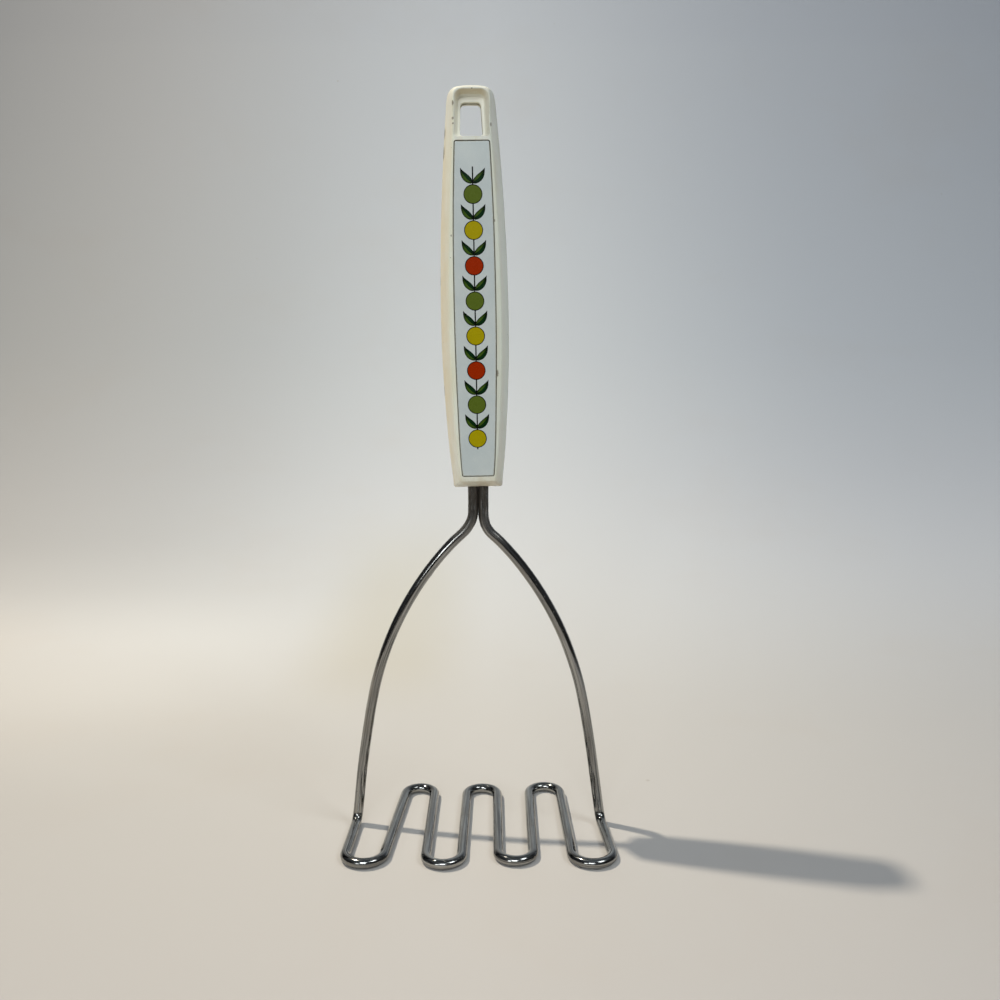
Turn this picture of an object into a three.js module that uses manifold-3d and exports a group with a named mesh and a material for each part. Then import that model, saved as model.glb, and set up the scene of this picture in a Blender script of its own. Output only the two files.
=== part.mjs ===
// Wire potato masher: one bent steel wire with a flat serpentine head, held in a hollow two-shell plastic handle
// that carries a printed inlay plaque. Millimetres, +Z up, the plaque faces -Y.
import * as THREE from "three";
import { mergeVertices } from "three/addons/utils/BufferGeometryUtils.js";
import Module from "manifold-3d";

const wasm = await Module();
wasm.setup();
const { PI, sin, cos, sqrt, atan2, hypot } = Math;

// ---- driving dimensions ----
const WIRE_R = 1.985; // 5/32 in wire
const SIDES = 12; // flats of the wire's section; one of them faces straight down all over the head
const NECK_HALF = 2.045; // from the centre line to each of the two upright wires
const NECK_Z = 129.2; // where the upright wires start to part
const NECK_BEND_R = 12.0;
const FOOT = [[-49.45, 3.0], [48.92, 4.0]]; // corner points of the legs on the head plane, x and y
const LEAN_FROM = 100.0; // below this height the legs swing back towards their feet
const LEFT_TUCK = 0.55; // the left leg's lowest part stands in by this much
const FOOT_R = 4.5;
const LEG_MID = -0.56; // the legs' common offset from the neck
// half distance between the legs against height, below the neck bend
const LEG = [
  [5.56, 120.7], [9.13, 117.3], [15.43, 110.2], [22.39, 100.7], [28.17, 91.1], [32.89, 81.5], [36.66, 71.8],
  [39.65, 62.0], [41.82, 52.1], [43.57, 42.2], [45.2, 32.1], [46.67, 22.0], [48.12, 11.8], [48.82, 6.9],
];
// turns of the serpentine: centre x, y, centre-line radius, +1 for a front turn and -1 for a rear turn
const TURNS = [
  [-42.75, -24.3, 7.35, 1], [-25.9, 25.8, 6.2, -1], [-12.9, -25.6, 6.75, 1], [0.65, 25.35, 6.5, -1],
  [14.25, -23.2, 6.6, 1], [27.4, 26.75, 6.6, -1], [43.2, -24.1, 7.65, 1],
];
const HANDLE_Z = 138.9; // underside of the handle
const HANDLE_LEAN = -0.9; // degrees about Y
const HANDLE_TWIST = 2.3; // degrees about Z
const HALF_DEPTH = 7.75; // parting plane to the front or back face
const BEVEL = 3.0; // how far the faces lie inside the parting-line outline
const SEAM = 0.3; // gap between the shells
const CORNER_R = 0.9;
// handle outline at the parting line: half width against height above the underside, up over the top
const OUTLINE = [
  [9.2, 0.0], [9.33, 2.4], [10.5, 13.8], [11.75, 32.8], [12.5, 51.4], [12.56, 60.5], [12.5, 69.7], [12.1, 87.8],
  [11.3, 105.6], [10.15, 123.1], [9.1, 136.0], [8.72, 140.0], [7.95, 142.6], [6.3, 144.2], [3.4, 144.85], [0, 145.0],
];
// half width of the line between plaque and rim
const PLAQUE = [[5.95, 4.9], [6.55, 14.7], [7.15, 33.2], [7.6, 62.0], [7.58, 74.0], [7.1, 104.6], [6.32, 124.9]];
const PLAQUE_GAP = 0.36;
const PLAQUE_R = 0.7;
const PLAQUE_T = 1.2;
const PLAQUE_SUNK = 0.2;
const RECESS = PLAQUE_SUNK + PLAQUE_T + 0.35; // depth of the plaque's recess
const POCKET_FLOOR = 2.7; // from the parting plane to the floor of the hang pocket
const WALL = 2.4;
const CAVITY_DEPTH = HALF_DEPTH - RECESS - 1.6;
const CAVITY_Z = [3.2, 121.5];
const RIBS = [16, 33, 50, 66, 85, 104]; // heights of the cross ribs inside each shell
const RIB_T = 1.5;
const HOOK_Z = 58.0; // the wire's ends turn outwards here, above the third rib
const HOOK_R = 2.6;
const HOOK_TIP = 6.9;
const FIT = 0.32; // clearance round the wires inside the handle

// ---- solids ----
function manifold(geometry) {
  const g = geometry.clone();
  g.deleteAttribute("normal");
  g.deleteAttribute("uv");
  const m = mergeVertices(g, 1e-4);
  return new wasm.Manifold(
    new wasm.Mesh({ numProp: 3, vertProperties: m.attributes.position.array, triVerts: new Uint32Array(m.index.array) }),
  );
}

function geometryOf(solid) {
  const m = solid.getMesh();
  const pos = new Float32Array(m.numVert * 3);
  for (let i = 0; i < m.numVert; i++) pos.set(m.vertProperties.subarray(i * m.numProp, i * m.numProp + 3), i * 3);
  const g = new THREE.BufferGeometry()
    .setAttribute("position", new THREE.BufferAttribute(pos, 3))
    .setIndex(new THREE.BufferAttribute(new Uint32Array(m.triVerts), 1))
    .toNonIndexed();
  g.computeVertexNormals();
  return g;
}

// A closed body through rings of the same count: each ring is {at, pts}, pts lie in the plane across the axis.
// With axis "y" a point [a, b] is x = a, z = b; with axis "z" it is x = a, y = b.
function loft(rings, axis = "y") {
  const n = rings[0].pts.length;
  const pos = [], idx = [];
  for (const r of rings) for (const [a, b] of r.pts) pos.push(...(axis === "y" ? [a, r.at, b] : [a, b, r.at]));
  for (let k = 0; k + 1 < rings.length; k++)
    for (let i = 0; i < n; i++) {
      const j = (i + 1) % n, p = k * n, q = p + n;
      idx.push(p + i, p + j, q + j, p + i, q + j, q + i);
    }
  const cap = (k, flip) => {
    const v = rings[k].pts.map(([a, b]) => new THREE.Vector2(a, b));
    const cw = THREE.ShapeUtils.isClockWise(v);
    for (const t of THREE.ShapeUtils.triangulateShape(v, [])) {
      const [a, b, c] = t.map((i) => i + k * n);
      idx.push(...(flip !== cw ? [a, c, b] : [a, b, c]));
    }
  };
  const ccw = !THREE.ShapeUtils.isClockWise(rings[0].pts.map(([a, b]) => new THREE.Vector2(a, b)));
  cap(0, ccw);
  cap(rings.length - 1, !ccw);
  let volume = 0;
  const P = (i) => new THREE.Vector3(pos[3 * i], pos[3 * i + 1], pos[3 * i + 2]);
  for (let i = 0; i < idx.length; i += 3) volume += P(idx[i]).dot(P(idx[i + 1]).cross(P(idx[i + 2])));
  if (volume < 0) for (let i = 0; i < idx.length; i += 3) [idx[i + 1], idx[i + 2]] = [idx[i + 2], idx[i + 1]];
  return manifold(new THREE.BufferGeometry().setAttribute("position", new THREE.Float32BufferAttribute(pos, 3)).setIndex(idx));
}

// Polygon with each corner [x, y, r] rounded by an arc of steps + 1 points.
function rounded(corners, steps = 4) {
  const out = [];
  corners.forEach(([x, y, r], i) => {
    const [px, py] = corners[(i + corners.length - 1) % corners.length];
    const [qx, qy] = corners[(i + 1) % corners.length];
    const a = new THREE.Vector2(px - x, py - y).normalize();
    const b = new THREE.Vector2(qx - x, qy - y).normalize();
    const half = Math.acos(THREE.MathUtils.clamp(a.dot(b), -1, 1)) / 2;
    const t = r / Math.tan(half);
    const c = a.clone().add(b).normalize().multiplyScalar(r / sin(half)).add(new THREE.Vector2(x, y));
    const s = new THREE.Vector2(x, y).addScaledVector(a, t).sub(c);
    const e = new THREE.Vector2(x, y).addScaledVector(b, t).sub(c);
    let turn = atan2(e.y, e.x) - atan2(s.y, s.x);
    if (turn > PI) turn -= 2 * PI;
    if (turn < -PI) turn += 2 * PI;
    const from = atan2(s.y, s.x);
    for (let k = 0; k <= steps; k++) out.push([c.x + r * cos(from + (turn * k) / steps), c.y + r * sin(from + (turn * k) / steps)]);
  });
  return out;
}

// ---- handle ----
const side = new THREE.CatmullRomCurve3(OUTLINE.map(([x, z]) => new THREE.Vector3(x, 0, z)), false, "centripetal");
const SAMPLES = 1200;
const sidePts = Array.from({ length: SAMPLES + 1 }, (_, i) => side.getPoint(i / SAMPLES));

// The handle's outline inset by b, a third less over the top, anticlockwise seen from the front, starting at the
// bottom right corner.
function outline(b) {
  const off = sidePts.map((p, i) => {
    const a = sidePts[Math.max(i - 1, 0)], c = sidePts[Math.min(i + 1, SAMPLES)];
    const tx = c.x - a.x, tz = c.z - a.z, l = hypot(tx, tz);
    const c2 = b * (1 - 0.35 * THREE.MathUtils.smoothstep(p.z, 128, 144));
    return i === SAMPLES ? [0, p.z - c2] : [p.x - (tz / l) * c2, p.z + (tx / l) * c2];
  });
  const foot = b + CORNER_R;
  const first = off.findIndex(([, z]) => z >= foot);
  const right = [];
  const xs = off[first][0];
  for (let k = 0; k <= 4; k++) right.push([xs - CORNER_R + CORNER_R * sin((k * PI) / 8), foot - CORNER_R * cos((k * PI) / 8)]);
  const keep = off.slice(first + 1);
  // fractions of the remaining curve, closer together round the top
  const marks = [0.05, 0.13, 0.21, 0.29, 0.36, 0.43, 0.5, 0.57, 0.65, 0.73, 0.8, 0.845, 0.872, 0.895, 0.917, 0.938, 0.956, 0.974, 0.988];
  for (const f of marks) right.push(keep[Math.round(f * (keep.length - 1))]);
  const all = [...right, [0, off[SAMPLES][1]]];
  for (let k = right.length - 1; k >= 0; k--) all.push([-right[k][0], right[k][1]]);
  return all;
}

function widthAt(table, z) {
  const c = table;
  for (let i = 0; i + 1 < c.length; i++)
    if (z <= c[i + 1][1] || i + 2 === c.length) {
      // Catmull-Rom between the table's rows
      const p0 = c[Math.max(i - 1, 0)], p1 = c[i], p2 = c[i + 1], p3 = c[Math.min(i + 2, c.length - 1)];
      const h = p2[1] - p1[1], t = (z - p1[1]) / h;
      const m1 = i > 0 ? ((p2[0] - p0[0]) / (p2[1] - p0[1])) * h : p2[0] - p1[0];
      const m2 = i + 2 < c.length ? ((p3[0] - p1[0]) / (p3[1] - p1[1])) * h : p2[0] - p1[0];
      return (2 * t ** 3 - 3 * t ** 2 + 1) * p1[0] + (t ** 3 - 2 * t ** 2 + t) * m1 + (3 * t ** 2 - 2 * t ** 3) * p2[0] + (t ** 3 - t ** 2) * m2;
    }
}

// The plaque's outline grown by g, with small round corners.
function plaqueOutline(g) {
  const z0 = PLAQUE[0][1] - g, z1 = PLAQUE[PLAQUE.length - 1][1] + g;
  const w = (z) => widthAt(PLAQUE, z) + g;
  const corners = [[w(z0), z0, PLAQUE_R]];
  const n = 12;
  const sides = Array.from({ length: n - 1 }, (_, i) => z0 + ((z1 - z0) * (i + 1)) / n);
  const up = sides.map((z) => [w(z), z]);
  const arc = (cx, cz, from) => Array.from({ length: 5 }, (_, k) => [cx + PLAQUE_R * cos(from + (k * PI) / 8), cz + PLAQUE_R * sin(from + (k * PI) / 8)]);
  corners.length = 0;
  return [
    ...arc(w(z0) - PLAQUE_R, z0 + PLAQUE_R, -PI / 2),
    ...up,
    ...arc(w(z1) - PLAQUE_R, z1 - PLAQUE_R, 0),
    ...arc(-w(z1) + PLAQUE_R, z1 - PLAQUE_R, PI / 2),
    ...up.map(([x, z]) => [-x, z]).reverse(),
    ...arc(-w(z0) + PLAQUE_R, z0 + PLAQUE_R, PI),
  ];
}

// The upper end of the handle has a sloped pocket on each face, round the hang hole.
const POCKET_MOUTH = [[6.5, 126.35, 1.2], [5.95, 142.35, 2.9], [-5.95, 142.35, 2.9], [-6.5, 126.35, 1.2]];
const POCKET_BASE = [[4.95, 127.0, 1.0], [4.65, 141.0, 2.2], [-4.65, 141.0, 2.2], [-4.95, 127.0, 1.0]];
const HANG_HOLE = [[4.1, 127.25, 0.8], [3.45, 138.8, 1.5], [-3.75, 138.8, 1.5], [-4.15, 127.25, 0.8]];

const box = (x0, x1, y0, y1, z0, z1) =>
  manifold(new THREE.BoxGeometry(x1 - x0, y1 - y0, z1 - z0).translate((x0 + x1) / 2, (y0 + y1) / 2, (z0 + z1) / 2));

function shell(s) {
  const face = s * HALF_DEPTH, part = (s * SEAM) / 2;
  const steps = 6;
  const rings = Array.from({ length: steps + 1 }, (_, k) => {
    const v = k / steps; // from the parting plane to the face
    return { at: part + (face - part) * v, pts: outline(BEVEL * v ** 1.5) };
  });
  let body = loft(rings);
  // cavity, closed off above by the web of the hang pocket
  const inner = [];
  const zs = Array.from({ length: 11 }, (_, i) => CAVITY_Z[0] + ((CAVITY_Z[1] - CAVITY_Z[0]) * i) / 10);
  const sideX = (z) => sidePts.reduce((best, p) => (Math.abs(p.z - z) < Math.abs(best.z - z) ? p : best)).x;
  for (const z of zs) inner.push([sideX(z) - WALL, z]);
  for (const z of [...zs].reverse()) inner.push([-sideX(z) + WALL, z]);
  const narrow = inner.map(([x, z]) => [x * 0.93, z]);
  let hollow = loft([{ at: part - s, pts: inner }, { at: s * 1.2, pts: inner }, { at: s * CAVITY_DEPTH, pts: narrow }]);
  for (const z of RIBS) hollow = hollow.subtract(box(-14, 14, Math.min(part, face), Math.max(part, face), z - RIB_T / 2, z + RIB_T / 2));
  body = body.subtract(hollow);
  // one channel for the two upright wires, through the bottom wall and the lower ribs
  const r = WIRE_R + FIT;
  const channel = rounded([[NECK_HALF + r, -r, r * 0.98], [NECK_HALF + r, r, r * 0.98], [-NECK_HALF - r, r, r * 0.98], [-NECK_HALF - r, -r, r * 0.98]], 5);
  body = body.subtract(loft([{ at: -2, pts: channel }, { at: HOOK_Z, pts: channel }], "z"));
  // hang pocket and hang hole
  body = body.subtract(loft([{ at: s * POCKET_FLOOR, pts: rounded(POCKET_BASE) }, { at: face, pts: rounded(POCKET_MOUTH) }, { at: face + s, pts: rounded(POCKET_MOUTH) }]));
  body = body.subtract(loft([{ at: part - s, pts: rounded(HANG_HOLE) }, { at: s * (POCKET_FLOOR + 1), pts: rounded(HANG_HOLE) }]));
  if (s < 0) body = body.subtract(loft([{ at: face + RECESS, pts: plaqueOutline(PLAQUE_GAP / 2) }, { at: face - 1, pts: plaqueOutline(PLAQUE_GAP / 2) }]));
  return body;
}

// ---- wire ----
// The handle's frame: its underside's centre, turned by the lean and the twist.
const handleMatrix = new THREE.Matrix4()
  .makeTranslation(0, 0, HANDLE_Z)
  .multiply(new THREE.Matrix4().makeRotationY(THREE.MathUtils.degToRad(HANDLE_LEAN)))
  .multiply(new THREE.Matrix4().makeRotationZ(THREE.MathUtils.degToRad(HANDLE_TWIST)));

// One end of the wire, from its turned tip down to the foot: points and the direction each section's first axis leans to.
function legPath(s) {
  const out = [];
  const add = (x, y, z, inHandle) => {
    const p = new THREE.Vector3(x, y, z);
    if (inHandle) p.applyMatrix4(handleMatrix);
    out.push({ p, up: new THREE.Vector3(0, -1, 0) });
  };
  add(s * HOOK_TIP, 0, HOOK_Z, true);
  for (let k = 0; k <= 5; k++) {
    const f = (k * PI) / 10;
    add(s * (NECK_HALF + HOOK_R - HOOK_R * sin(f)), 0, HOOK_Z - HOOK_R + HOOK_R * cos(f), true);
  }
  add(s * NECK_HALF, 0, 3.0, true);
  add(s * NECK_HALF, 0, HANDLE_Z - 3.0, false);
  const shift = (z) => LEG_MID * THREE.MathUtils.smoothstep(NECK_Z - z, 0, 9);
  for (let k = 0; k <= 5; k++) {
    const f = (k * PI) / 20;
    const z = NECK_Z - NECK_BEND_R * sin(f);
    add(s * (NECK_HALF + NECK_BEND_R * (1 - cos(f))) + shift(z), 0, z);
  }
  const leg = new THREE.CatmullRomCurve3(LEG.map(([x, z]) => new THREE.Vector3(x, 0, z)), false, "centripetal");
  const n = 22;
  for (let k = 1; k <= n; k++) {
    const q = leg.getPoint(k / n);
    const tuck = s < 0 ? LEFT_TUCK * (1 - THREE.MathUtils.smoothstep(q.z, 4, 26)) : 0;
    const back = FOOT[s < 0 ? 0 : 1][1] * Math.pow(THREE.MathUtils.clamp((LEAN_FROM - q.z) / (LEAN_FROM - WIRE_R), 0, 1), 1.3);
    add(s * q.x + shift(q.z) + tuck, back, q.z);
  }
  return out;
}

// Where a straight run leaves turn a and meets turn b.
function run(a, b) {
  const D = new THREE.Vector2(b[0] - a[0], b[1] - a[1]);
  const k = b[3] * b[2] - a[3] * a[2];
  const L = sqrt(D.lengthSq() - k * k);
  const d = D.clone().rotateAround(new THREE.Vector2(), -atan2(k, L)).normalize();
  const n = new THREE.Vector2(-d.y, d.x);
  return {
    d,
    p: new THREE.Vector2(a[0], a[1]).addScaledVector(n, -a[3] * a[2]),
    q: new THREE.Vector2(b[0], b[1]).addScaledVector(n, -b[3] * b[2]),
  };
}

function wirePath() {
  const left = legPath(-1), right = legPath(1);
  const path = [...left];
  const Z = WIRE_R;
  const ends = [[...FOOT[0], 0, 1], ...TURNS, [...FOOT[1], 0, 1]];
  const runs = ends.slice(0, -1).map((a, i) => run(a, ends[i + 1]));
  const foot = (leg, [x, y], d) => {
    // quarter turn from the leg into the head plane, towards d
    const corner = new THREE.Vector3(x, y, Z);
    const down = corner.clone().sub(leg[leg.length - 1].p).normalize();
    const flat = new THREE.Vector3(d.x, d.y, 0);
    const pts = [];
    const steps = 7;
    for (let k = 0; k <= steps; k++) {
      const f = (k / steps) * (PI / 2);
      const p = corner.clone().addScaledVector(down, -FOOT_R * (1 - sin(f))).addScaledVector(flat, FOOT_R * (1 - cos(f)));
      const plumb = down.clone().lerp(new THREE.Vector3(0, 0, -1), k / steps).normalize();
      pts.push({ p, up: new THREE.Vector3(0, -1, 0).multiplyScalar(cos(f)).addScaledVector(plumb, -sin(f)) });
    }
    return pts;
  };
  path.push(...foot(left, FOOT[0], runs[0].d));
  const flatUp = () => new THREE.Vector3(0, 0, 1);
  TURNS.forEach(([cx, cy, r, s], i) => {
    const a = runs[i].q, b = runs[i + 1].p;
    const from = atan2(a.y - cy, a.x - cx);
    let turn = atan2(b.y - cy, b.x - cx) - from;
    while (s * turn < 0) turn += s * 2 * PI;
    const steps = 12;
    for (let k = 0; k <= steps; k++) {
      const f = from + (turn * k) / steps;
      path.push({ p: new THREE.Vector3(cx + r * cos(f), cy + r * sin(f), Z), up: flatUp() });
    }
  });
  path.push(...foot(right, FOOT[1], runs[runs.length - 1].d.clone().negate()).reverse());
  path.push(...right.reverse());
  return path;
}

class WireCurve extends THREE.Curve {
  constructor(list) {
    super();
    this.list = list;
  }
  getPoint(t, target = new THREE.Vector3()) {
    return target.copy(this.list[Math.round(t * (this.list.length - 1))].p);
  }
  getSpacedPoints() {
    return this.list.map((e) => e.p);
  }
  computeFrenetFrames() {
    const tangents = [], normals = [], binormals = [];
    this.list.forEach((e, i) => {
      const a = this.list[Math.max(i - 1, 0)].p, b = this.list[Math.min(i + 1, this.list.length - 1)].p;
      // the mean of the two neighbouring directions, so the section is mitred
      const t = new THREE.Vector3();
      if (i > 0) t.add(e.p.clone().sub(a).normalize());
      if (i + 1 < this.list.length) t.add(b.clone().sub(e.p).normalize());
      t.normalize();
      const n = e.up.clone().addScaledVector(t, -e.up.dot(t)).normalize();
      tangents.push(t);
      normals.push(n);
      binormals.push(new THREE.Vector3().crossVectors(t, n));
    });
    return { tangents, normals, binormals };
  }
}

function wireGeometry() {
  const list = wirePath();
  const R = WIRE_R / cos(PI / SIDES); // the flats, not the corners, lie on the wire's radius
  const section = new THREE.Shape(
    Array.from({ length: SIDES }, (_, i) => new THREE.Vector2(R * cos(((i + 0.5) * 2 * PI) / SIDES), R * sin(((i + 0.5) * 2 * PI) / SIDES))),
  );
  return new THREE.ExtrudeGeometry(section, { steps: list.length - 1, bevelEnabled: false, extrudePath: new WireCurve(list) });
}

// ---- assembly ----
const chrome = { color: 0x8d8c8a, roughness: 0.28, metalness: 1.0 };
const cream = { color: 0xd8d3bd, roughness: 0.45, metalness: 0.0 };
const white = { color: 0xd5dadb, roughness: 0.3, metalness: 0.0 };
function mesh(name, geometry, material) {
  const m = new THREE.Mesh(geometry, new THREE.MeshStandardMaterial(material));
  m.name = name;
  return m;
}

const tool = new THREE.Group();
tool.add(mesh("masher_wire", wireGeometry(), chrome));

const handle = new THREE.Group();
handle.applyMatrix4(handleMatrix);
handle.add(mesh("handle_front_shell", geometryOf(shell(-1)), cream));
handle.add(mesh("handle_back_shell", geometryOf(shell(1)), cream));
const plate = plaqueOutline(-PLAQUE_GAP / 2);
handle.add(
  mesh("inlay_plaque", geometryOf(loft([{ at: -HALF_DEPTH + PLAQUE_SUNK, pts: plate }, { at: -HALF_DEPTH + PLAQUE_SUNK + PLAQUE_T, pts: plate }])), white),
);
tool.add(handle);

// the origin is the middle of the tool's bounding box, on the plane it stands on
tool.updateMatrixWorld(true);
const bounds = new THREE.Box3().setFromObject(tool, true);
tool.position.set(-(bounds.min.x + bounds.max.x) / 2, -(bounds.min.y + bounds.max.y) / 2, -bounds.min.z);

const masher = new THREE.Group();
masher.add(tool);
export default masher;
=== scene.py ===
import math
import random

import bmesh
import bpy
import numpy as np
from mathutils import Matrix, Vector
from mathutils.geometry import tessellate_polygon


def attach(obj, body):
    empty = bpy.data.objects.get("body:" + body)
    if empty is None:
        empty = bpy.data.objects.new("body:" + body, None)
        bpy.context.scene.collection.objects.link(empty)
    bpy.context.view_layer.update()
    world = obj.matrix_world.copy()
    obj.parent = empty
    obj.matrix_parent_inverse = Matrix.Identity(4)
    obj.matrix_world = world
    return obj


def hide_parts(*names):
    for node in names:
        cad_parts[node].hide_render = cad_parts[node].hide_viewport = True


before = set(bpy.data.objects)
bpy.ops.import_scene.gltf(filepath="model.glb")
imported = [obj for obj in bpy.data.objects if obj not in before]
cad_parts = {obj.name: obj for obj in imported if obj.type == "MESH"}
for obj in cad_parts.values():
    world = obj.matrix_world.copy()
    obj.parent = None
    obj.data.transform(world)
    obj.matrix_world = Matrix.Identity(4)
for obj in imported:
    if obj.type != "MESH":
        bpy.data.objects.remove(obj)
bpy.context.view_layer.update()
MM = 0.001
scene = bpy.context.scene
RND = random.Random(11)

# ------------------------------------------------------------------ design numbers, millimetres
SHIFT = np.array([-0.3677, -0.49949, 0.0])  # from the neck's centre line to the row frame
WIRE_R = 1.985
NECK_HALF = 1.955
NECK_Z = 129.2
NECK_BEND_R = 12.0
FOOT = ((-49.45, 3.0), (48.92, 4.0))
LEAN_FROM = 100.0
LEFT_TUCK = 0.55
FOOT_R = 4.5
LEG_MID = -0.56
LEG = [
    (5.47, 120.7), (9.13, 117.3), (15.43, 110.2), (22.39, 100.7), (28.17, 91.1), (32.89, 81.5), (36.66, 71.8),
    (39.65, 62.0), (41.82, 52.1), (43.57, 42.2), (45.2, 32.1), (46.67, 22.0), (48.12, 11.8), (48.82, 6.9),
]
TURNS = [
    (-42.75, -24.3, 7.35, 1), (-25.9, 25.8, 6.2, -1), (-12.9, -25.6, 6.75, 1), (0.65, 25.35, 6.5, -1),
    (14.25, -23.2, 6.6, 1), (27.4, 26.75, 6.6, -1), (43.2, -24.1, 7.65, 1),
]
HANDLE_Z = 138.9
LEAN, TWIST = math.radians(-0.9), math.radians(2.3)
HALF_DEPTH = 7.75
BEVEL = 3.0
OUTLINE = [
    (9.2, 0.0), (9.33, 2.4), (10.5, 13.8), (11.75, 32.8), (12.5, 51.4), (12.56, 60.5), (12.5, 69.7), (12.1, 87.8),
    (11.3, 105.6), (10.15, 123.1), (9.1, 136.0), (8.72, 140.0), (7.95, 142.6), (6.3, 144.2), (3.4, 144.85), (0, 145.0),
]
CORNER_R = 0.9
PLAQUE = [(5.95, 4.9), (6.55, 14.7), (7.15, 33.2), (7.6, 62.0), (7.58, 74.0), (7.1, 104.6), (6.32, 124.9)]
PLAQUE_R = 0.7
PLAQUE_FACE = 7.62  # the plaque's front, from the parting plane
RECESS_FLOOR = 6.0
POCKET_MOUTH = [(6.5, 126.35, 1.2), (5.95, 142.3, 2.9), (-5.95, 142.3, 2.9), (-6.5, 126.35, 1.2)]
POCKET_BASE = [(4.95, 127.0, 1.0), (4.65, 141.0, 2.2), (-4.65, 141.0, 2.2), (-4.95, 127.0, 1.0)]
HANG_HOLE = [(4.1, 127.4, 0.8), (3.45, 138.8, 1.5), (-3.75, 138.8, 1.5), (-4.15, 127.4, 0.8)]
POCKET_FLOOR = 2.7

ry = np.array([[math.cos(LEAN), 0, math.sin(LEAN)], [0, 1, 0], [-math.sin(LEAN), 0, math.cos(LEAN)]])
rz = np.array([[math.cos(TWIST), -math.sin(TWIST), 0], [math.sin(TWIST), math.cos(TWIST), 0], [0, 0, 1]])
HANDLE_R = ry @ rz


def from_handle(p):
    """Handle coordinates (mm) to the row frame (mm)."""
    return np.asarray(p, float) @ HANDLE_R.T + np.array([0, 0, HANDLE_Z]) + SHIFT


def smooth(x, a, b):
    t = min(max((x - a) / (b - a), 0.0), 1.0)
    return t * t * (3 - 2 * t)


# ------------------------------------------------------------------ curves
def catmull(points, n):
    """Centripetal Catmull-Rom through the points: n + 1 samples, evenly spaced in its own parameter."""
    p = np.asarray(points, float)
    last = len(p) - 1
    out = []
    for k in range(n + 1):
        u = k / n * last
        i = min(int(u), last - 1)
        w = u - i
        p1, p2 = p[i], p[i + 1]
        p0 = p[i - 1] if i > 0 else 2 * p1 - p2
        p3 = p[i + 2] if i + 2 <= last else 2 * p2 - p1
        d0, d1, d2 = (max(np.linalg.norm(b - a) ** 0.5, 1e-6) for a, b in ((p0, p1), (p1, p2), (p2, p3)))
        t1 = ((p1 - p0) / d0 - (p2 - p0) / (d0 + d1) + (p2 - p1) / d1) * d1
        t2 = ((p2 - p1) / d1 - (p3 - p1) / (d1 + d2) + (p3 - p2) / d2) * d1
        out.append(
            p1 + w * t1 + w * w * (-3 * p1 + 3 * p2 - 2 * t1 - t2) + w**3 * (2 * p1 - 2 * p2 + t1 + t2)
        )
    return np.array(out)


def rounded(corners, steps):
    """Polygon with each corner (x, z, r) rounded."""
    out = []
    n = len(corners)
    for i, (x, z, r) in enumerate(corners):
        c = np.array([x, z], float)
        a = np.array(corners[i - 1][:2], float) - c
        b = np.array(corners[(i + 1) % n][:2], float) - c
        a /= np.linalg.norm(a)
        b /= np.linalg.norm(b)
        half = math.acos(max(-1.0, min(1.0, a @ b))) / 2
        m = a + b
        centre = c + m / np.linalg.norm(m) * r / math.sin(half)
        t = r / math.tan(half)
        s, e = c + a * t - centre, c + b * t - centre
        f0 = math.atan2(s[1], s[0])
        turn = (math.atan2(e[1], e[0]) - f0 + math.pi) % (2 * math.pi) - math.pi
        for k in range(steps + 1):
            f = f0 + turn * k / steps
            out.append(centre + r * np.array([math.cos(f), math.sin(f)]))
    return np.array(out)


def densify(loop, n):
    """A closed loop resampled to n points, evenly by length, starting at its first point."""
    p = np.vstack([loop, loop[:1]])
    s = np.r_[0, np.cumsum(np.linalg.norm(np.diff(p, axis=0), axis=1))]
    u = np.arange(n) / n * s[-1]
    return np.stack([np.interp(u, s, p[:, 0]), np.interp(u, s, p[:, 1])], 1)


# ------------------------------------------------------------------ mesh building
class Build:
    """Collects rings of points in handle coordinates, with numbers per point for the materials."""

    def __init__(self):
        self.v, self.f, self.grime, self.pocket = [], [], [], []

    def ring(self, pts, y, grime=0.0, pocket=0.0):
        start = len(self.v)
        for x, z in pts:
            self.v.append((x, y, z))
            self.grime.append(grime)
            self.pocket.append(pocket)
        return (start, len(pts))

    def bridge(self, a, b):
        n = a[1]
        for i in range(n):
            j = (i + 1) % n
            self.f.append((a[0] + i, a[0] + j, b[0] + j, b[0] + i))

    def chain(self, rings):
        for a, b in zip(rings, rings[1:]):
            self.bridge(a, b)

    def cap(self, *rings):
        loops = [[Vector((self.v[r[0] + i][0], self.v[r[0] + i][2], 0)) for i in range(r[1])] for r in rings]
        index = [r[0] + i for r in rings for i in range(r[1])]
        for t in tessellate_polygon(loops):
            if len(set(t)) == 3:
                self.f.append(tuple(index[k] for k in t))

    def object(self, name, sharp=38):
        me = bpy.data.meshes.new(name)
        pts = from_handle(np.array(self.v)) * MM
        me.from_pydata([tuple(p) for p in pts], [], self.f)
        for key, values in (("grime", self.grime), ("pocket", self.pocket)):
            at = me.attributes.new(key, "FLOAT", "POINT")
            at.data.foreach_set("value", np.array(values, np.float32))
        at = me.attributes.new("loc", "FLOAT_VECTOR", "POINT")
        at.data.foreach_set("vector", np.array(self.v, np.float32).ravel())
        bm = bmesh.new()
        bm.from_mesh(me)
        bmesh.ops.recalc_face_normals(bm, faces=bm.faces)
        bm.to_mesh(me)
        bm.free()
        me.shade_smooth()
        me.set_sharp_from_angle(angle=math.radians(sharp))
        ob = bpy.data.objects.new(name, me)
        scene.collection.objects.link(ob)
        return ob


# ------------------------------------------------------------------ handle outlines
SIDE = catmull(OUTLINE, 1500)
MARKS = np.r_[
    np.linspace(0.0, 0.80, 46)[1:], np.linspace(0.80, 1.0, 44)[1:-1]
]


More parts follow.
